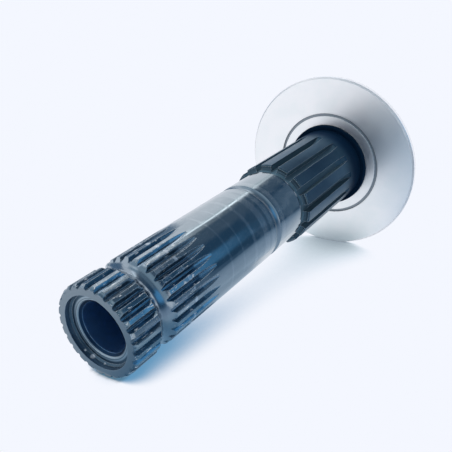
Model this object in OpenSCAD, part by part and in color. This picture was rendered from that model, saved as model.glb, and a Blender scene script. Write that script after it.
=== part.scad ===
// Kickstart shaft: a hollow steel shaft that stands on its flange, with its axis along Z.
// Lever splines at the top end, a plain journal in the middle, gear splines above the flange.
// Distances along the shaft are measured down from the top end face, as on a turner's drawing.

/* [Shaft] */

// Diameter of the plain journal and of the lever spline tips
shaft_d = 22; // [20:0.5:24]
// Height from the back of the flange to the top end face
total_h = 114; // [110:1:130]
// Diameter of the through bore for the inner shaft
bore_d = 12.2; // [8:0.2:13]

/* [End face] */

// Chamfer on the spline tips, measured along the radius
end_chamfer = 0.5; // [0.2:0.1:0.8]
// Slope of that chamfer from the axis, in degrees
end_chamfer_angle = 30; // [20:5:60]
// Diameter of the seal seat
seat_d = 17.4; // [16:0.1:17.8]
// Depth of the seal seat
seat_depth = 1.6; // [1:0.1:4]
// Chamfer in the corner of the seal seat
seat_corner = 0.4; // [0.2:0.1:0.6]
// Chamfer at both mouths of the bore
bore_chamfer = 0.8; // [0.3:0.1:1]

/* [Lever splines] */

// Number of lever splines
lever_teeth = 26; // [20:1:30]
// Depth of the slots between the lever splines
lever_depth = 0.9; // [0.6:0.05:1.1]
// Share of the tooth pitch that the slot takes at the tips
lever_slot_share = 0.66; // [0.5:0.02:0.72]
// Slope of the slot flanks, in degrees from the slot's middle plane
lever_flank = 36; // [25:1:40]
// Length of the slots at full depth, from the end face
lever_len = 23.4; // [19:0.2:28]
// Radius of the cutter that leaves the run-outs
lever_cutter_r = 18; // [10:1:30]

/* [Clamp groove] */

// Distance from the end face to the middle of the groove
clamp_pos = 10.5; // [8:0.5:13]
// Radius of the groove's section, half a clearance hole for the clamp bolt
clamp_r = 3.3; // [2.7:0.1:4.3]
// Depth of the groove below the spline tips
clamp_depth = 1.35; // [1.2:0.05:1.8]

/* [Ring groove] */

// Distance from the end face to the middle of the groove in the journal
ring_pos = 56.8; // [45:0.2:62]
// Width of the ring groove at the journal
ring_w = 2.6; // [1.6:0.1:4]
// Depth of the ring groove
ring_depth = 0.6; // [0.3:0.1:0.8]

/* [Gear splines] */

// Outside diameter of the gear splines and of the land behind them
gear_d = 25; // [24.5:0.5:27]
// Number of gear splines
gear_teeth = 14; // [10:1:18]
// Depth of the slots between the gear splines
gear_depth = 1.9; // [1.2:0.1:2.2]
// Width of a slot at the tips
gear_slot_w = 2.3; // [1.6:0.1:3]
// Slope of the slot flanks, in degrees from the slot's middle plane
gear_flank = 9; // [4:1:15]
// Distance from the end face to the foot of the gear splines
gear_pos = 70.6; // [66:0.2:74]
// Length of the slots at full depth, from the foot of the gear splines
gear_len = 25.6; // [15:0.2:27]
// Radius of the cutter that leaves the run-outs
gear_cutter_r = 10; // [6:1:14]

/* [Flange] */

// Diameter of the flange
flange_d = 59.5; // [45:0.5:80]
// Thickness of the flange
flange_t = 2.6; // [2:0.2:6]
// Chamfer on both edges of the flange
flange_chamfer = 0.5; // [0.2:0.1:0.8]
// Diameter of the collar between the gear splines and the flange
collar_d = 27.8; // [27.4:0.2:31]
// Height of that collar above the flange
collar_h = 1.4; // [0.8:0.1:3]
// Middle diameter of the ring line turned in the flange face
line_d = 34.6; // [33:0.2:42]
// Width of the ring line
line_w = 0.9; // [0.5:0.1:1.4]
// Depth of the ring line
line_depth = 0.5; // [0.2:0.1:1]

/* [Hidden] */

$fn = 104;

// How far a cutting shape reaches past the surface that it opens
reach = 1;

shaft_r = shaft_d / 2;
bore_r = bore_d / 2;
seat_r = seat_d / 2;
gear_r = gear_d / 2;
collar_r = collar_d / 2;
flange_r = flange_d / 2;

// Heights of the turned steps above the back of the flange
seat_z = total_h - seat_depth;
gear_foot_z = total_h - gear_pos;
gear_top_z = gear_foot_z - (gear_r - shaft_r);
collar_z = flange_t + collar_h;
collar_edge = min(0.3, collar_h / 3);

// Slots of the lever splines
lever_root_r = shaft_r - lever_depth;
lever_tip_w = lever_slot_share * 2 * PI * shaft_r / lever_teeth;
lever_root_w = max(0.3, lever_tip_w - 2 * lever_depth * tan(lever_flank));

// Slots of the gear splines, which open into a round relief a little below their floor
gear_root_r = gear_r - gear_depth;
gear_root_w = gear_slot_w - 2 * gear_depth * tan(gear_flank);
relief_r = 1.2;
relief_floor_r = min(gear_root_r - 0.1, shaft_r - 0.3);
relief_z = gear_foot_z;

// Radius of a round groove's section, from its width at the surface and its depth
function groove_r(w, depth) = (w * w / 4 + depth * depth) / (2 * depth);

// The shaft as it leaves the lathe, before grooves and splines
module turned_blank() {
    rotate_extrude()
        polygon([
            [seat_r, total_h],
            [shaft_r - end_chamfer, total_h],
            [shaft_r, total_h - end_chamfer / tan(end_chamfer_angle)],
            [shaft_r, gear_foot_z],
            [gear_r, gear_top_z],
            [gear_r, collar_z],
            [collar_r - collar_edge, collar_z],
            [collar_r, collar_z - collar_edge],
            [collar_r, flange_t],
            [flange_r - flange_chamfer, flange_t],
            [flange_r, flange_t - flange_chamfer],
            [flange_r, flange_chamfer],
            [flange_r - flange_chamfer, 0],
            [bore_r + bore_chamfer, 0],
            [bore_r, bore_chamfer],
            [bore_r, seat_z - bore_chamfer],
            [bore_r + bore_chamfer, seat_z],
            [seat_r - seat_corner, seat_z],
            [seat_r, seat_z + seat_corner],
        ]);
}

// A groove of round section whose floor stands at floor_r
module round_groove(floor_r, section_r, z) {
    rotate_extrude()
        translate([floor_r + section_r, z])
            circle(r = section_r);
}

// The thin ring line in the front face of the flange
module ring_line() {
    translate([0, 0, flange_t - line_depth])
        difference() {
            cylinder(d = line_d + line_w, h = line_depth + reach);
            translate([0, 0, -reach])
                cylinder(d = line_d - line_w, h = line_depth + 3 * reach);
        }
}

// Section of a slot, from its floor at x = 0 out past the spline tips
module slot_section(depth, root_w, tip_w) {
    slope = (tip_w - root_w) / 2 / depth;
    outer_w = tip_w + 2 * slope * reach;
    polygon([
        [0, -root_w / 2],
        [depth + reach, -outer_w / 2],
        [depth + reach, outer_w / 2],
        [0, root_w / 2],
    ]);
}

// One slot: full depth from low_z to high_z, then the arc of the cutter lifting out below low_z
module slot_cut(root_r, depth, root_w, tip_w, low_z, high_z, cutter_r) {
    translate([root_r, 0, low_z]) {
        linear_extrude(height = high_z - low_z)
            slot_section(depth, root_w, tip_w);
        translate([cutter_r, 0, 0])
            rotate([-90, 0, 0])
                rotate([0, 0, 90])
                    rotate_extrude(angle = 90)
                        translate([cutter_r, 0])
                            mirror([1, 0])
                                slot_section(depth, root_w, tip_w);
    }
}

module lever_slots() {
    for (i = [0 : lever_teeth - 1])
        rotate([0, 0, i * 360 / lever_teeth])
            slot_cut(lever_root_r, lever_depth, lever_root_w, lever_tip_w,
                     total_h - lever_len, total_h + reach, lever_cutter_r);
}

module gear_slots() {
    for (i = [0 : gear_teeth - 1])
        rotate([0, 0, i * 360 / gear_teeth])
            slot_cut(gear_root_r, gear_depth, gear_root_w, gear_slot_w,
                     gear_foot_z - gear_len, relief_z, gear_cutter_r);
}

module kickstart_shaft() {
    color([0.62, 0.64, 0.67])
        difference() {
            turned_blank();
            round_groove(shaft_r - clamp_depth, clamp_r, total_h - clamp_pos);
            round_groove(shaft_r - ring_depth, groove_r(ring_w, ring_depth), total_h - ring_pos);
            round_groove(relief_floor_r, relief_r, relief_z);
            ring_line();
            lever_slots();
            gear_slots();
        }
}

kickstart_shaft();
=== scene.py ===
# %% [markdown]
# # Kickstart shaft
# A kickstart shaft carries the kick lever on one end and the starter gear on the other. It is one piece of steel: a
# lathe turns the blank, cutters make two sets of splines, and a grinder finishes the journal and the flange. The solid
# model already has that shape, so this lesson never touches the mesh. It works on what is left: the camera, the light
# and above all the finish. The imported model is loaded first.

# %% Load the imported shaft
import math

import bmesh
import bpy
from mathutils import Euler, Matrix, Vector

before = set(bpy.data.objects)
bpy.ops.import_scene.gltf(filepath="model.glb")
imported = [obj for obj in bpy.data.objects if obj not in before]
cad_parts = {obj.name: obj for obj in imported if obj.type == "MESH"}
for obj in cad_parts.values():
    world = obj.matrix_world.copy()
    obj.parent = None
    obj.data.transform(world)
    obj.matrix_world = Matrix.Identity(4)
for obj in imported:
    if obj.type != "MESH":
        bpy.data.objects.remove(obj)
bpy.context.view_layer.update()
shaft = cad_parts["kickstart_shaft"]
MM = 0.001

# %% [markdown]
# ## Camera
# The shaft lies on a table with its lever end close to the lens, which makes that end look big and the flange small.
# The place and lens of the camera could be set by eye, but a thin round shaft shows every degree of error. Here they
# come from measured points of the picture: both outlines of the journal, the end face and the rim of the flange.

# %% Camera
SENSOR_WIDTH = 36.0
FOCAL_LENGTH = 44.66
CAMERA_PLACE = Vector((50.16, 88.67, 174.20)) * MM
CAMERA_TURN = Euler([math.radians(angle) for angle in (-27.8608, 33.6914, 15.4076)])

scene = bpy.context.scene
scene.view_settings.view_transform = "Standard"
lens = bpy.data.cameras.new("camera")
lens.sensor_width = SENSOR_WIDTH
lens.lens = FOCAL_LENGTH
lens.clip_start = 10 * MM
camera = bpy.data.objects.new("camera", lens)
camera.location = CAMERA_PLACE
camera.rotation_euler = CAMERA_TURN
scene.collection.objects.link(camera)
scene.camera = camera
print("camera:", round(CAMERA_PLACE.length / MM), "mm from the flange, lens", FOCAL_LENGTH, "mm")

# %% [markdown]
# ## How the shaft lies
# The model stands upright on its flange, so in this frame the table is what leans. It touches the shaft at two places
# only, the rim of the flange and the lower edge of the lever end. A plane through both that is level across the
# picture gives the direction UP. Two more directions lie in the table: ALONG the shaft and to its RIGHT. TO_KEY points
# almost straight up, to the brightest part of the room.

# %% Directions of the table
UP = Vector((-0.36673, 0.91549, -0.16547)).normalized()
FLANGE_TOUCH = Vector((11.063, -27.617, 1.3)) * MM
ALONG = (Vector((0, 0, 1)) - UP.z * UP).normalized()
RIGHT = UP.cross(ALONG)
TO_KEY = (UP - 0.15 * RIGHT - 0.05 * ALONG).normalized()
print("the shaft's axis rises", round(math.degrees(math.asin(-UP.z)), 1), "degrees from the table towards the flange")

# %% [markdown]
# ## Helpers for nodes
# Every finish below is a small network of nodes. It could be drawn in the shader editor, but a script can be read and
# changed line by line. These helpers add nodes to `tree`, the network that is being made at that moment, and they hand
# back a socket to build on. A colour is written as three numbers.

# %% Nodes
def new_material(name):
    global tree
    material = bpy.data.materials.new(name)
    material.use_nodes = True
    tree = material.node_tree
    tree.nodes.clear()
    return material


def node(kind, sockets=(), **settings):
    made = tree.nodes.new(kind)
    for name, value in settings.items():
        setattr(made, name, value)
    for name, value in dict(sockets).items():
        socket = made.inputs[name]
        if isinstance(value, bpy.types.NodeSocket):
            tree.links.new(value, socket)
        else:
            socket.default_value = (*value, 1.0) if socket.type == "RGBA" else value
    return made


def add(kind, sockets=(), pick=0, **settings):
    return node(kind, sockets, **settings).outputs[pick]


print("helpers for nodes:", [helper.__name__ for helper in (new_material, node, add)])

# %% [markdown]
# ## Helpers for masks and colours
# A mask is a number from 0 to 1 that says where a finish lies. `ramp` rises softly between two limits and `fall` sinks.
# Where two masks must hold at once they are multiplied, where one is enough the larger is taken, and `faint` keeps only
# a share of a mask. `blend` then mixes two colours or two numbers, and `tones` turns a number into a row of colours.

# %% Masks
def sums(operation, a, b=0.0, c=0.0):
    return add("ShaderNodeMath", {0: a, 1: b, 2: c}, operation=operation)


def ramp(value, low, high):
    limits = {"Value": value, "From Min": low, "From Max": high}
    return add("ShaderNodeMapRange", limits, interpolation_type="SMOOTHSTEP")


def fall(value, low, high):
    return sums("SUBTRACT", 1.0, ramp(value, low, high))


def both(*masks):
    out = masks[0]
    for mask in masks[1:]:
        out = sums("MULTIPLY", out, mask)
    return out


def either(*masks):
    out = masks[0]
    for mask in masks[1:]:
        out = sums("MAXIMUM", out, mask)
    return out


def faint(mask, share):
    return sums("MULTIPLY", mask, share)


print("helpers for masks:", [helper.__name__ for helper in (sums, ramp, fall, both, either, faint)])

# %% Colours and shaders
# A mix node has its own sockets for numbers and for colours: here the first input and the output of each kind.
MIX_SOCKETS = {"FLOAT": (2, 0), "RGBA": (6, 2)}


def blend(mask, a, b, kind="RGBA"):
    first, pick = MIX_SOCKETS[kind]
    return add("ShaderNodeMix", {0: mask, first: a, first + 1: b}, pick=pick, data_type=kind)


def tones(value, steps):
    low, high = steps[0][0], steps[-1][0]
    place = add("ShaderNodeMapRange", {"Value": value, "From Min": low, "From Max": high})
    made = node("ShaderNodeValToRGB", {0: place})
    stops = made.color_ramp.elements
    stops[0].color = (*steps[0][1], 1.0)
    stops[1].color = (*steps[-1][1], 1.0)
    for at, shade in steps[1:-1]:
        stops.new((at - low) / (high - low)).color = (*shade, 1.0)
    return made.outputs[0]


def mix_shader(mask, a, b):
    return add("ShaderNodeMixShader", {0: mask, 1: a, 2: b})


print("helpers for colours:", [helper.__name__ for helper in (blend, tones, mix_shader)])

# %% [markdown]
# ## Table
# In a bright room the soft shadow under a part is simply missing light: the less of the room a spot of the table sees
# past the shaft, the darker it is. One big lamp would throw a shadow that is too wide and too even. An ambient
# occlusion node measures the open share of the room at each spot, leaning a little towards the brighter side, and a
# row of tones turns that share into a colour. The shadow is blue under the lever end and grey under the flange. A
# second, short-sighted occlusion adds the dark line where the lever end touches the paper. The flange mirrors the
# paper in front of it and still looks bright, so reflections see a fainter shadow there. From below the table is
# clear, so that the underside of the shaft can be looked at as well.

# %% Tones of the table
PALE = (0.905, 0.93, 1.0)
BLUE_SHADE = (
    (0.20, (0.12, 0.305, 0.506)), (0.25, (0.20, 0.369, 0.556)), (0.30, (0.34, 0.48, 0.644)),
    (0.35, (0.52, 0.623, 0.758)), (0.40, (0.69, 0.759, 0.865)), (0.45, (0.83, 0.87, 0.953)), (0.50, PALE))
GREY_SHADE = (
    (0.20, (0.27, 0.33, 0.385)), (0.25, (0.33, 0.40, 0.46)), (0.30, (0.43, 0.51, 0.57)),
    (0.35, (0.54, 0.63, 0.70)), (0.40, (0.69, 0.77, 0.86)), (0.45, (0.83, 0.88, 0.96)), (0.50, PALE))
# Painted contact shadow where the lever end touches the paper.
TOUCH_SHADOW = (0.07, 0.13, 0.17)
print("shadow tones:", len(BLUE_SHADE), "blue and", len(GREY_SHADE), "grey")

# %% Shadow on the paper
ROOM_REACH = 200 * MM
TOUCH_REACH = 1.3 * MM


def distance_along(way):
    spot = add("ShaderNodeTexCoord", pick="Object")
    off = add("ShaderNodeVectorMath", {0: spot, 1: FLANGE_TOUCH}, operation="SUBTRACT")
    return add("ShaderNodeVectorMath", {0: off, 1: way}, pick="Value", operation="DOT_PRODUCT")


table_paper = new_material("table_paper")
along = distance_along(ALONG)
near_lever = ramp(along, 0.02, 0.08)
before_flange = both(ramp(along, 0.004, 0.020), fall(along, 0.040, 0.060))
key_way = add("ShaderNodeCombineXYZ", {0: TO_KEY.x, 1: TO_KEY.y, 2: TO_KEY.z})
open_share = add("ShaderNodeAmbientOcclusion", {"Distance": ROOM_REACH, "Normal": key_way}, pick="AO", samples=48)
shade = blend(near_lever, tones(open_share, GREY_SHADE), tones(open_share, BLUE_SHADE))
# Painted contact shadow: a short-sighted occlusion darkens the paper where the lever end touches it.
close_share = add("ShaderNodeAmbientOcclusion", {"Distance": TOUCH_REACH}, pick="AO", samples=16)
touch_shadow = both(near_lever, fall(close_share, 0.35, 0.95))
shade = blend(faint(touch_shadow, 0.7), shade, TOUCH_SHADOW)
ray = node("ShaderNodeLightPath").outputs
shade = blend(faint(both(ray["Is Glossy Ray"], before_flange), 0.7), shade, PALE)
print("shadow:", len(tree.nodes), "nodes")

# %% Both sides of the paper
PLAIN_PAPER = (0.80, 0.82, 0.86)


def looked_at(ray):
    return either(*(ray[kind] for kind in ("Is Camera Ray", "Is Glossy Ray", "Is Transmission Ray")))


seen_paper = add("ShaderNodeEmission", {"Color": shade, "Strength": 1.0})
plain_paper = add("ShaderNodeBsdfDiffuse", {"Color": PLAIN_PAPER})
top_side = mix_shader(looked_at(ray), plain_paper, seen_paper)
from_below = add("ShaderNodeNewGeometry", pick="Backfacing")
clear = add("ShaderNodeBsdfTransparent")
node("ShaderNodeOutputMaterial", {"Surface": mix_shader(from_below, top_side, clear)})
print("table paper:", len(tree.nodes), "nodes")

# %% Table top
TABLE_REACH = 20.0


def stage_piece(bm, name, material):
    mesh = bpy.data.meshes.new(name)
    bm.to_mesh(mesh)
    bm.free()
    mesh.materials.append(material)
    piece = bpy.data.objects.new(name, mesh)
    scene.collection.objects.link(piece)
    return piece


on_table = Matrix.Translation(FLANGE_TOUCH) @ UP.to_track_quat("Z", "Y").to_matrix().to_4x4()
bm = bmesh.new()
bmesh.ops.create_grid(bm, x_segments=2, y_segments=2, size=TABLE_REACH, matrix=on_table)
table = stage_piece(bm, "table", table_paper)
print("table normal:", [round(v, 3) for v in table.data.polygons[0].normal])

# %% [markdown]
# ## Light
# A pale room lights the shaft from all around, and one soft lamp stands almost straight above it. Together they give a
# level at which a colour renders about as it is written. Bare steel hardly shows where a lamp stands, it shows what
# the lamp looks like. So the lamp only shades, and the pale walls are what the camera and the steel see.

# %% Pale room
FILL = 0.3
world = bpy.data.worlds.new("pale_room")
scene.world = world
world.use_nodes = True
tree = world.node_tree
tree.nodes.clear()
fill = add("ShaderNodeBackground", {"Color": (1.0, 1.0, 1.0), "Strength": FILL})
walls = add("ShaderNodeBackground", {"Color": PALE, "Strength": 1.0})
seen_walls = looked_at(node("ShaderNodeLightPath").outputs)
node("ShaderNodeOutputWorld", {"Surface": mix_shader(seen_walls, fill, walls)})
print("room: walls", PALE, "and a fill of", FILL)

# %% Soft lamp
KEY_SHARE = 1.0 - FILL
KEY_WIDTH = 28
key = bpy.data.lights.new("key", "SUN")
key.energy = KEY_SHARE * math.pi / TO_KEY.dot(UP)
key.angle = math.radians(KEY_WIDTH)
key_lamp = bpy.data.objects.new("key", key)
key_lamp.rotation_euler = TO_KEY.to_track_quat("Z", "Y").to_euler()
key_lamp.visible_glossy = False
scene.collection.objects.link(key_lamp)
print("lamp", round(math.degrees(math.asin(TO_KEY.dot(UP)))), "degrees above the table")

# %% [markdown]
# ## Dark side of the room
# Polished steel is a mirror, so its picture is the room. To the right of this shaft the room is dark and bluish, with
# one blue glow, and a bright strip with a thin, brighter core runs along the shaft overhead. Painting those bands on
# the steel would be wrong from any other side. A curved cloth stands in the room instead, seen by reflections only. Its
# tones follow the turn round the shaft's axis and the height, and each finish mirrors its own part of it. At the low
# end the bands lean, as the reflections in the picture do.

# %% Tones of the cloth
# Painted reflections: the cloth glows for reflections only, as a dark room, a blue glow and bright strips.
DARK = (0.030, 0.082, 0.155)
SLATE = (0.082, 0.135, 0.204)
HAZE = (0.105, 0.175, 0.265)
MIST = (0.17, 0.25, 0.34)
DUSK = (0.35, 0.46, 0.56)
GLOW_BLUE = (0.14, 0.43, 0.78)
STRIP_EDGE = (0.22, 0.27, 0.33)
STRIP = (1.45, 1.5, 1.6)
SOFT_STRIP = (0.74, 0.80, 0.86)
THIN_STRIP = (2.4, 2.5, 2.6)
CLOTH_TONES = ((0, DARK), (76, DARK), (90, SLATE), (112, SLATE), (122, STRIP_EDGE),
               (129, STRIP), (136, STRIP), (139, PALE), (175, PALE))
print("cloth: dark up to a turn of", CLOTH_TONES[1][0], "degrees, bright strip from", CLOTH_TONES[5][0])

# %% Bands of the cloth
LEAN = 80.0


def band(value, low, high, soft):
    return both(ramp(value, low - soft, low + soft), fall(value, high - soft, high + soft))


cloth_glow = new_material("cloth_glow")
place = node("ShaderNodeSeparateXYZ", {0: add("ShaderNodeTexCoord", pick="Object")}).outputs
turn = sums("DEGREES", sums("ARCTAN2", place["Y"], place["X"]))
height = place["Z"]
low_end = sums("MAXIMUM", -0.75, sums("MINIMUM", height, -0.45))
leaning_turn = sums("ADD", turn, sums("MULTIPLY", LEAN, sums("ADD", 0.47, low_end)))
middle = band(height, -0.12, 0.07, 0.04)
bands = (
    (both(fall(height, -0.42, -0.30), band(leaning_turn, 125, 138, 3)), SOFT_STRIP),
    (both(band(height, -0.56, -0.30, 0.04), band(leaning_turn, 127, 131, 1.5)), THIN_STRIP),
    (both(fall(height, -0.62, -0.50), fall(turn, 74, 88)), HAZE),
    (both(band(turn, 27, 52, 6), ramp(height, -0.56, -0.20), fall(height, 0.05, 0.25)), GLOW_BLUE),
    (band(height, 0.13, 0.50, 0.06), DUSK),
    (both(middle, band(turn, 42, 59, 5)), GLOW_BLUE),
    (both(middle, band(turn, 62, 114, 5)), MIST),
    (both(middle, band(turn, 117, 146, 4)), DUSK))
shade = tones(leaning_turn, CLOTH_TONES)
for mask, tone in bands:
    shade = blend(mask, shade, tone)
print("cloth glow:", len(bands), "bands,", len(tree.nodes), "nodes")

# %% Cloth
SCREEN_DISTANCE = 0.5
SCREEN_STEPS = 46


def glow_only(shade, cover=1.0):
    glow = add("ShaderNodeEmission", {"Color": shade, "Strength": 1.0})
    node("ShaderNodeOutputMaterial", {"Surface": mix_shader(cover, add("ShaderNodeBsdfTransparent"), glow)})


def reflections_only(piece):
    piece.visible_camera = False
    piece.visible_diffuse = False
    piece.visible_shadow = False
    piece.visible_transmission = False


def outwards(turn):
    return Vector((math.cos(math.radians(turn)), math.sin(math.radians(turn)), 0.0))


def curved_screen(name, material, turns, levels):
    start, end = turns
    bm = bmesh.new()
    ends = [bm.verts.new(outwards(start) * SCREEN_DISTANCE + Vector((0.0, 0.0, level))) for level in levels]
    bmesh.ops.spin(bm, geom=ends + [bm.edges.new(ends)], cent=(0, 0, 0), axis=(0, 0, 1),
                   angle=math.radians(end - start), steps=SCREEN_STEPS, use_merge=False)
    piece = stage_piece(bm, name, material)
    reflections_only(piece)
    return piece


glow_only(shade)
cloth = curved_screen("cloth", cloth_glow, turns=(0, 152), levels=(-0.78, 2.6))
print("cloth:", len(cloth.data.polygons), "faces")

# %% [markdown]
# ## Dim screen on the left
# The left side of the room is bright, apart from something dim that shows in the upper tips of the lever splines. The
# cloth could be carried on that far, but it would then cover the bright wall in between. A second, small screen of the
# same kind is simpler.

# %% Small screen on the left
# Painted reflection: a dim blue glow on the left that only reflections see.
LEFT_BLUE = (0.12, 0.21, 0.33)
left_glow = new_material("left_glow")
glow_only(LEFT_BLUE)
left_screen = curved_screen("left_screen", left_glow, turns=(166, 208), levels=(-0.38, 0.04))
print("left screen:", len(left_screen.data.polygons), "faces, mirrored by the upper lever tips")

# %% [markdown]
# ## Mats on the table
# The lower side of the shaft mirrors the table beside it, and in the picture that side is much darker than white
# paper. Three thin mats, again seen by reflections only, are a painted reflection of the table's shadow beside the
# shaft and of the dark room beyond it: a long one to the side, a narrow one close to the journal and one under the
# lever end. Darker paper would do the same for the steel, but the camera would see it too. The tones depend on the
# distance from the shaft. Each mat fades out along a line, the side mat so that the rim of the flange stays bright,
# and the other two so that no edge shows in the journal.

# %% Tones of the mats
# Painted reflection of the table's shadow beside the shaft and of the dark room beyond it.
SIDE_TONES = (
    (0.013, (0.60, 0.70, 0.84)), (0.016, (0.49, 0.61, 0.76)), (0.021, (0.40, 0.51, 0.65)), (0.037, (0.35, 0.455, 0.60)),
    (0.080, (0.23, 0.33, 0.46)), (0.150, (0.077, 0.15, 0.25)), (0.250, DARK), (0.600, DARK))
NEAR_TONES = (
    (-0.004, (0.66, 0.74, 0.84)), (0.002, (0.50, 0.60, 0.72)), (0.007, (0.40, 0.50, 0.62)), (0.017, (0.37, 0.48, 0.62)))
FRONT_TONES = (
    (-0.030, PALE), (-0.018, (0.82, 0.86, 0.94)), (-0.010, (0.66, 0.74, 0.84)), (-0.005, (0.50, 0.60, 0.72)),
    (0.000, (0.40, 0.52, 0.65)), (0.006, (0.21, 0.37, 0.54)), (0.0125, (0.15, 0.29, 0.44)), (0.018, (0.20, 0.34, 0.48)),
    (0.025, (0.40, 0.53, 0.67)), (0.037, (0.36, 0.465, 0.61)))
print("tones of the side, near and front mat:", len(SIDE_TONES), len(NEAR_TONES), len(FRONT_TONES))


# %% Mats beside the shaft
def mat(name, steps, run, level, fade, lean=0.0):
    material = new_material(name)
    aside = distance_along(RIGHT)
    cover = ramp(sums("MULTIPLY_ADD", aside, lean, distance_along(ALONG)), *fade)
    glow_only(tones(aside, steps), cover)
    left, right = steps[0][0], steps[-1][0]
    near, far = run
    bm = bmesh.new()
    bm.faces.new([bm.verts.new(FLANGE_TOUCH + UP * level + RIGHT * off + ALONG * down)
                  for off, down in ((left, near), (left, far), (right, far), (right, near))])
    piece = stage_piece(bm, name, material)
    reflections_only(piece)
    return piece


side_mat = mat("side_mat", SIDE_TONES, run=(0.12, -0.66), level=0.5 * MM, fade=(0.02, 0.08), lean=1.7)
near_mat = mat("near_mat", NEAR_TONES, run=(0.10, 0.02), level=0.7 * MM, fade=(0.042, 0.056))
front_mat = mat("front_mat", FRONT_TONES, run=(0.16, 0.07), level=1.0 * MM, fade=(0.070, 0.086))
print("mats:", [round(piece.data.polygons[0].area, 4) for piece in (side_mat, near_mat, front_mat)], "square metres")

# %% [markdown]
# ## Where each finish lies
# Almost everything on a turned part follows from two numbers: the height above the back of the flange and the distance
# from the axis. The steel reads both from its object coordinates, in millimetres, so every finish stays on the part
# from any side. A painted image would need the mesh unwrapped, and would blur in a close view. A small measuring helper
# prints the radius of the mesh itself at given heights.

# %% Height and radius
def slant(a, b):
    return sums("SQRT", sums("ADD", sums("POWER", a, 2.0), sums("POWER", b, 2.0)))


def radius_at(level, turn=0.0, inside=False):
    way = outwards(turn)
    axis_point = Vector((0.0, 0.0, level * MM))
    start, way = (axis_point, way) if inside else (axis_point + way * 0.1, -way)
    spot = shaft.ray_cast(start, way, depsgraph=bpy.context.evaluated_depsgraph_get())[1]
    return round(spot.xy.length / MM, 2)


shaft_steel = new_material("shaft_steel")
in_mm = add("ShaderNodeVectorMath", {0: add("ShaderNodeTexCoord", pick="Object"), "Scale": 1 / MM}, operation="SCALE")
place = node("ShaderNodeSeparateXYZ", {0: in_mm}).outputs
z = place["Z"]
r = slant(place["X"], place["Y"])
print("radius of the journal:", radius_at(75), "mm, of the flange:", radius_at(1.3), "mm")

# %% [markdown]
# ## Marks of the tools
# A lathe and a grinder leave fine lines round the part, and use leaves blotches and scuffs. The lines are noise that
# depends on the height plus the radius alone, so they run round the journal and turn into circles on the flat faces.
# The blotches are noise in all directions. Soft edges come from a bevel node, because cutting them into the mesh would
# change it. Where the bevel's normal departs from the true one there is an edge that wear can brighten.

# %% Lines and blotches
def lines(scale, detail):
    where = {"W": sums("ADD", z, r), "Scale": scale, "Detail": detail, "Roughness": 0.7}
    return add("ShaderNodeTexNoise", where, noise_dimensions="1D")


def patches(scale, detail, stretch=(1.0, 1.0, 1.0)):
    where = add("ShaderNodeMapping", {"Vector": in_mm, "Scale": stretch})
    return add("ShaderNodeTexNoise", {"Vector": where, "Scale": scale, "Detail": detail, "Roughness": 0.6})


fine_lines = lines(5.0, 3.0)
broad_lines = lines(0.8, 2.0)
blotch = patches(0.25, 4.0)
speckle = patches(2.6, 3.0)
scuff = patches(1.0, 3.0, (2.2, 2.2, 0.35))
smear = patches(0.5, 3.0, (1.0, 1.0, 0.4))
print("lines and blotches:", len(tree.nodes), "nodes so far")

# %% Edges
EDGE_RADIUS = 0.22 * MM
soft_edge = add("ShaderNodeBevel", {"Radius": EDGE_RADIUS}, samples=6)
true_face = add("ShaderNodeNewGeometry", pick="Normal")
same = add("ShaderNodeVectorMath", {0: soft_edge, 1: true_face}, pick="Value", operation="DOT_PRODUCT")
on_edge = both(fall(same, 0.86, 0.99), ramp(blotch, 0.25, 0.5))
print("edges rounded by", round(EDGE_RADIUS / MM, 2), "mm in the light")

# %% [markdown]
# ## Journal
# The journal turns in a bush, so it is ground and then polished by use. It starts as a smooth mid-grey steel with
# faint lines. Oil smears make it duller in patches, narrow rings show where the bush and its seal rubbed, and the ring
# groove keeps some dirt. One material for each zone would leave hard borders, so all zones share one. `lay` puts one
# finish, a colour with its roughness and metal, on top of the ones before it, where its mask says so.

# %% Ground journal
GROUND = ((0.35, 0.41, 0.44), (0.43, 0.49, 0.52))
SMEARED = ((0.38, 0.44, 0.47), (0.47, 0.53, 0.56))


def lay(mask, shade, roughness, metal=None):
    global colour, rough, metallic
    colour = blend(mask, colour, shade)
    rough = blend(mask, rough, roughness, "FLOAT")
    if metal is not None:
        metallic = blend(mask, metallic, metal, "FLOAT")


colour = blend(blotch, *GROUND)
rough = sums("MULTIPLY_ADD", fine_lines, 0.08, 0.07)
metallic = 1.0
lay(faint(ramp(smear, 0.47, 0.66), 0.8), blend(fine_lines, *SMEARED), 0.20)
print("ground and smeared steel:", len(tree.nodes), "nodes so far")

# %% Rubbed rings and ring groove
RUBBED = ((0.42, 0.48, 0.51), (0.60, 0.65, 0.68))
RUBBED_RINGS = ((79.3, 79.9), (74.2, 74.6), (68.3, 69.4), (62.0, 64.5), (59.4, 60.9), (53.6, 55.2))
RING_GROOVE = (55.9, 58.5)
GROOVE_DIRT = (0.36, 0.42, 0.46)
rubbed = either(*(band(z, low, high, 0.3) for low, high in RUBBED_RINGS))
on_journal = ramp(r, 10.90, 10.98)
lay(faint(both(rubbed, on_journal), 0.45), blend(fine_lines, *RUBBED), 0.30)
lay(both(band(z, *RING_GROOVE, 0.1), fall(r, 10.90, 10.98)), GROOVE_DIRT, 0.28)
print("ring groove in the journal:", radius_at(57.2), "mm radius, short journal", radius_at(50), "mm")
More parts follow.
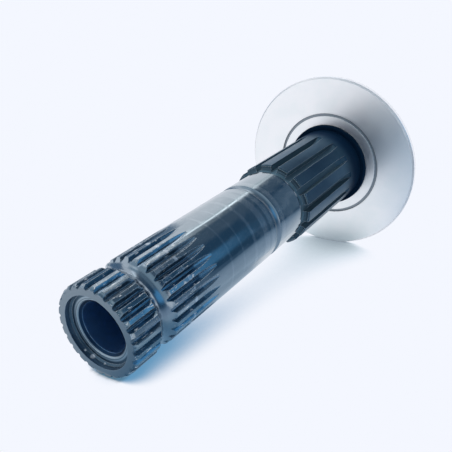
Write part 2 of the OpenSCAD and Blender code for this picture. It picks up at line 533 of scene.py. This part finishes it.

# %% [markdown]
# ## Lever splines
# The kick lever clamps on the fine splines. Its hub has scuffed the tips dull and left them lighter up to a line
# across all of them, and that worn line is painted bright as a highlight. The slots are painted darker than the tips
# as shade, and darker still in patches along their full depth. The run-outs where the cutter lifted out stay lighter
# steel. The scuffs are noise drawn out along the shaft, the way a hub slides on.
# Small bright specks on the tips are painted glints, standing for bare steel where small blows broke the dull skin.

# %% Scuffed tips
LEVER_TEETH = 26
SCUFFED = (0.28, 0.34, 0.38)
UNDER_HUB = (0.52, 0.57, 0.61)
HUB_LINE_GLINT = (0.80, 0.83, 0.86)
tip = both(ramp(z, 85, 94), ramp(r, 10.6, 10.9))
lay(both(tip, ramp(scuff, 0.42, 0.66)), SCUFFED, sums("MULTIPLY_ADD", speckle, 0.36, 0.20))
under_hub = both(band(z, 94.6, 101.2, 0.4), tip, ramp(scuff, 0.36, 0.56))
lay(faint(under_hub, 0.7), UNDER_HUB, 0.36)
# Painted highlight on the worn line where the hub ended.
hub_line_glint = both(band(z, 93.7, 94.6, 0.12), tip, ramp(blotch, 0.38, 0.52))
lay(hub_line_glint, HUB_LINE_GLINT, 0.46)
print("lever tips", radius_at(98, 180 / LEVER_TEETH), "mm radius")

# %% Slots, run-outs and specks
# The slot colours carry painted shade: darker than the tips, and darker still in patches along the full depth.
SLOT_STEEL = ((0.22, 0.30, 0.37), (0.32, 0.40, 0.47))
DEEP_SLOT_SHADE = (0.11, 0.165, 0.205)
RUN_OUT = ((0.42, 0.49, 0.54), (0.54, 0.60, 0.64))
SPECK_GLINT = (0.80, 0.84, 0.87)
lever = ramp(z, 83.9, 84.1)
full_depth = ramp(z, 90, 92)
slot = both(lever, fall(r, 10.6, 10.9))
lay(slot, blend(blotch, *SLOT_STEEL), sums("MULTIPLY_ADD", speckle, 0.12, 0.10))
# Painted shade in patches along the full depth of the slots.
lay(both(slot, full_depth, ramp(scuff, 0.44, 0.58)), DEEP_SLOT_SHADE, 0.26)
run_out = both(band(z, 84.9, 90.6, 0.2), fall(r, 10.7, 10.95))
lay(run_out, blend(speckle, *RUN_OUT), 0.24)
# Painted glints: small bright specks on the tips, standing for bare steel that catches the light.
knock_glints = ramp(patches(1.8, 2.0, (1.2, 1.2, 0.30)), 0.61, 0.69)
lay(both(full_depth, ramp(r, 10.3, 10.6), knock_glints), SPECK_GLINT, 0.38, 0.45)
print("lever slots", radius_at(98), "mm radius")

# %% [markdown]
# ## Clamp groove
# The clamp bolt of the lever lies in a round groove across the splines. A range of heights would also mark the slots
# beside it, because the groove is narrower at their floor. Its section is part of a circle, so the mask is the distance
# from the middle of that circle.

# %% Clamp groove
GROOVE_STEEL = ((0.29, 0.35, 0.40), (0.37, 0.44, 0.49))
CIRCLE_RADIUS = 3.3
CIRCLE_FROM_AXIS = 12.95
CIRCLE_HEIGHT = 103.5
from_circle = slant(sums("SUBTRACT", r, CIRCLE_FROM_AXIS), sums("SUBTRACT", z, CIRCLE_HEIGHT))
groove_wall = fall(sums("ABSOLUTE", sums("SUBTRACT", from_circle, CIRCLE_RADIUS)), 0.03, 0.06)
lay(both(groove_wall, fall(r, 10.98, 10.99)), blend(broad_lines, *GROOVE_STEEL), 0.20)
print("groove floor", radius_at(CIRCLE_HEIGHT), "mm radius")

# %% [markdown]
# ## End face and bore
# The end face is a dull turned grey. The seat inside it holds a seal and the bore holds a second shaft. The outer
# corner of the seat and a thin line on its floor are painted dark as shade. The bore is painted blue so that the shade
# inside it renders navy, and the inner part of its mouth is painted dark as shade, leaving a clean ring at the mouth.
# Each is a short range of height and radius. Three small bright spots on the seat wall are painted glints where dents
# catch the light. A glint follows no turned line, so each is a spot round a point.

# %% End face, seat and mouth of the bore
END_FACE = ((0.18, 0.235, 0.28), (0.22, 0.28, 0.325))
SEAT_WALL = (0.20, 0.28, 0.36)
SEAT_FLOOR = (0.33, 0.42, 0.48)
# Painted shade: the seat's outer corner, a thin line on its floor and the inner part of the bore's mouth.
SEAT_SHADE = (0.07, 0.12, 0.165)
MOUTH_SHADE_LINE = (0.11, 0.16, 0.20)
MOUTH_SHADE = (0.014, 0.04, 0.085)
end_face = both(ramp(z, 113.05, 113.15), fall(r, 10.4, 10.6))
lay(end_face, blend(fine_lines, *END_FACE), 0.32)
in_seat = fall(r, 8.72, 8.78)
lay(both(ramp(z, 112.42, 112.48), in_seat), SEAT_WALL, 0.34)
lay(both(band(z, 111.5, 112.45, 0.03), in_seat), SEAT_FLOOR, 0.40)
# Painted shade in the seat's outer corner, a painted shade line on its floor and the painted shade of the bore's mouth.
lay(both(band(r, 7.65, 8.80, 0.10), band(z, 112.2, 112.9, 0.05)), SEAT_SHADE, 0.36)
lay(both(band(r, 7.10, 7.24, 0.05), band(z, 112.2, 112.6, 0.05)), MOUTH_SHADE_LINE, 0.40)
lay(both(fall(r, 6.60, 6.70), band(z, 111.0, 112.3, 0.1)), MOUTH_SHADE, 0.45)
print("seat", radius_at(113.4, inside=True), "mm radius")

# %% Painted glints and blue shade of the bore
# Painted glints: three small bright spots on the seat wall where dents catch the light.
GLINT_SPOT = (0.80, 0.90, 1.0)
GLINT_SPOTS = (((-2.83, -8.23, 113.10), 0.38), ((-0.72, -8.67, 113.00), 0.72), ((2.62, -8.30, 112.80), 0.36))
# Painted shade: the bore's strong blue makes the shade inside the hole render navy.
BORE_SHADE_BLUE = (0.21, 0.42, 0.68)
# Each painted glint is a bright spot round a point.
for glint_spot, size in GLINT_SPOTS:
    off = add("ShaderNodeVectorMath", {0: in_mm, 1: glint_spot}, pick="Value", operation="DISTANCE")
    lay(fall(off, 0.35 * size, size), GLINT_SPOT, 0.30, 0.0)
# Painted blue shade inside the bore.
lay(fall(r, 6.11, 6.15), BORE_SHADE_BLUE, 0.45)
print(len(GLINT_SPOTS), "painted_glints, bore", radius_at(60, inside=True), "mm radius")

# %% [markdown]
# ## Gear splines
# Nothing rubs between the gear and the flange, so the coarse splines keep the dark skin of the heat treatment. It is
# bluish black and only half shiny, and it starts from the same masks of height and radius as the other zones. The
# slots are duller and the tooth fronts smoother.

# %% Dark splines
GEAR_TEETH = 14
DARK_SKIN = ((0.033, 0.093, 0.15), (0.055, 0.128, 0.19))
DULL_SLOT = (0.10, 0.18, 0.24)
TOOTH_FRONT = (0.07, 0.12, 0.16)
gear = both(fall(z, 43.3, 43.5), ramp(z, 2.58, 2.62))
lay(gear, blend(blotch, *DARK_SKIN), sums("MULTIPLY_ADD", blotch, 0.16, 0.24))
lay(both(gear, fall(r, 12.0, 12.4)), DULL_SLOT, 0.40, 0.45)
tooth_front = both(band(z, 41.85, 43.35, 0.05), ramp(r, 10.85, 10.95))
lay(tooth_front, TOOTH_FRONT, 0.22)
print("gear slots", radius_at(30), "mm radius, tips", radius_at(30, 180 / GEAR_TEETH), "mm")

# %% [markdown]
# ## Worn edges and painted shade at the gear end
# Edges lose their skin first: the hub and the gear slide on over them and leave thin bare lines. Tracing every edge by
# hand would take long, and the bevel node has already found them. The clamp groove and the end face keep their own
# finish. Towards the flange the gear end and the collar are painted near black and hardly metallic, as painted shade
# in the corner against the flange, and this hides the wear there.

# %% Worn edges and painted shade at the gear end
WORN_EDGE = (0.52, 0.58, 0.62)
# Painted shade: the gear end and the collar are near black in the corner against the flange.
GEAR_END_SHADE = (0.005, 0.021, 0.052)
COLLAR_SHADE = (0.004, 0.018, 0.045)
off_groove = sums("SUBTRACT", 1.0, band(z, 100.4, 106.6, 0.2))
worn = both(on_edge, either(lever, faint(gear, 0.8)), off_groove, fall(z, 112.9, 113.0))
lay(worn, WORN_EDGE, 0.28, 0.65)
# Painted shade at the gear end and on the collar, next to the flange.
lay(both(gear, fall(z, 8.0, 17.0)), GEAR_END_SHADE, 0.40, 0.15)
lay(both(band(z, 2.6, 4.05, 0.02), fall(r, 13.95, 14.0)), COLLAR_SHADE, 0.45, 0.10)
print("collar", radius_at(3.3), "mm radius")

# %% [markdown]
# ## Flange
# The flange is ground flat and is the brightest part of the shaft. Its face is not a clear mirror: circles from the
# grinding wheel and faint cloudy patches blur it, so the dark splines fade out across it. Anisotropy could draw the
# reflections out along the circles, but plain roughness already gives that blur. The chamfer is duller than the rim,
# and the ring line turned into the face is painted dark as its shade.

# %% Bright flange
FLANGE_STEEL = ((0.97, 0.975, 0.97), (0.99, 0.99, 0.985))
CLOUDY_STEEL = (0.94, 0.965, 0.96)
RIM_STEEL = (0.97, 0.975, 0.98)
# Painted shade for the ring line turned into the flange face.
RING_LINE_SHADE = (0.30, 0.34, 0.37)
flange = both(fall(z, 2.61, 2.63), ramp(r, 13.92, 13.98))
lay(flange, blend(broad_lines, *FLANGE_STEEL), sums("MULTIPLY_ADD", broad_lines, 0.06, 0.31), 1.0)
cloudy = faint(ramp(patches(0.14, 3.0), 0.42, 0.66), 0.8)
lay(both(flange, cloudy), CLOUDY_STEEL, 0.38)
chamfer_and_rim = both(flange, ramp(r, 29.2, 29.3))
rim = ramp(r, 29.66, 29.72)
lay(chamfer_and_rim, RIM_STEEL, blend(rim, 0.45, 0.22, "FLOAT"), blend(rim, 0.6, 1.0, "FLOAT"))
# Painted shade in the ring line of the flange face.
lay(both(band(r, 16.85, 17.75, 0.02), band(z, 2.0, 2.57, 0.02)), RING_LINE_SHADE, 0.45)
print("rim", radius_at(1.3), "mm radius")

# %% [markdown]
# ## Surface and assignment
# Last come the dents that light picks up: the pits on the lever tips and the faint lines on the flange. They are far
# too small to model, so a bump node bends the normal a little. Then the finished steel goes into the shaft's slot.

# %% Steel on the shaft
DENT_DEPTH = 0.02 * MM
dents = sums("ADD", faint(both(fine_lines, fall(z, 2.7, 2.8)), 0.25), both(speckle, tip))
surface = add("ShaderNodeBump", {"Strength": 0.22, "Distance": DENT_DEPTH, "Height": dents, "Normal": soft_edge})
steel = add("ShaderNodeBsdfPrincipled", {"Base Color": colour, "Roughness": rough, "Metallic": metallic,
                                         "Specular IOR Level": 0.0, "Normal": surface})
node("ShaderNodeOutputMaterial", {"Surface": steel})
shaft.material_slots[0].link = "OBJECT"
shaft.material_slots[0].material = shaft_steel
print("shaft steel:", len(tree.nodes), "nodes")
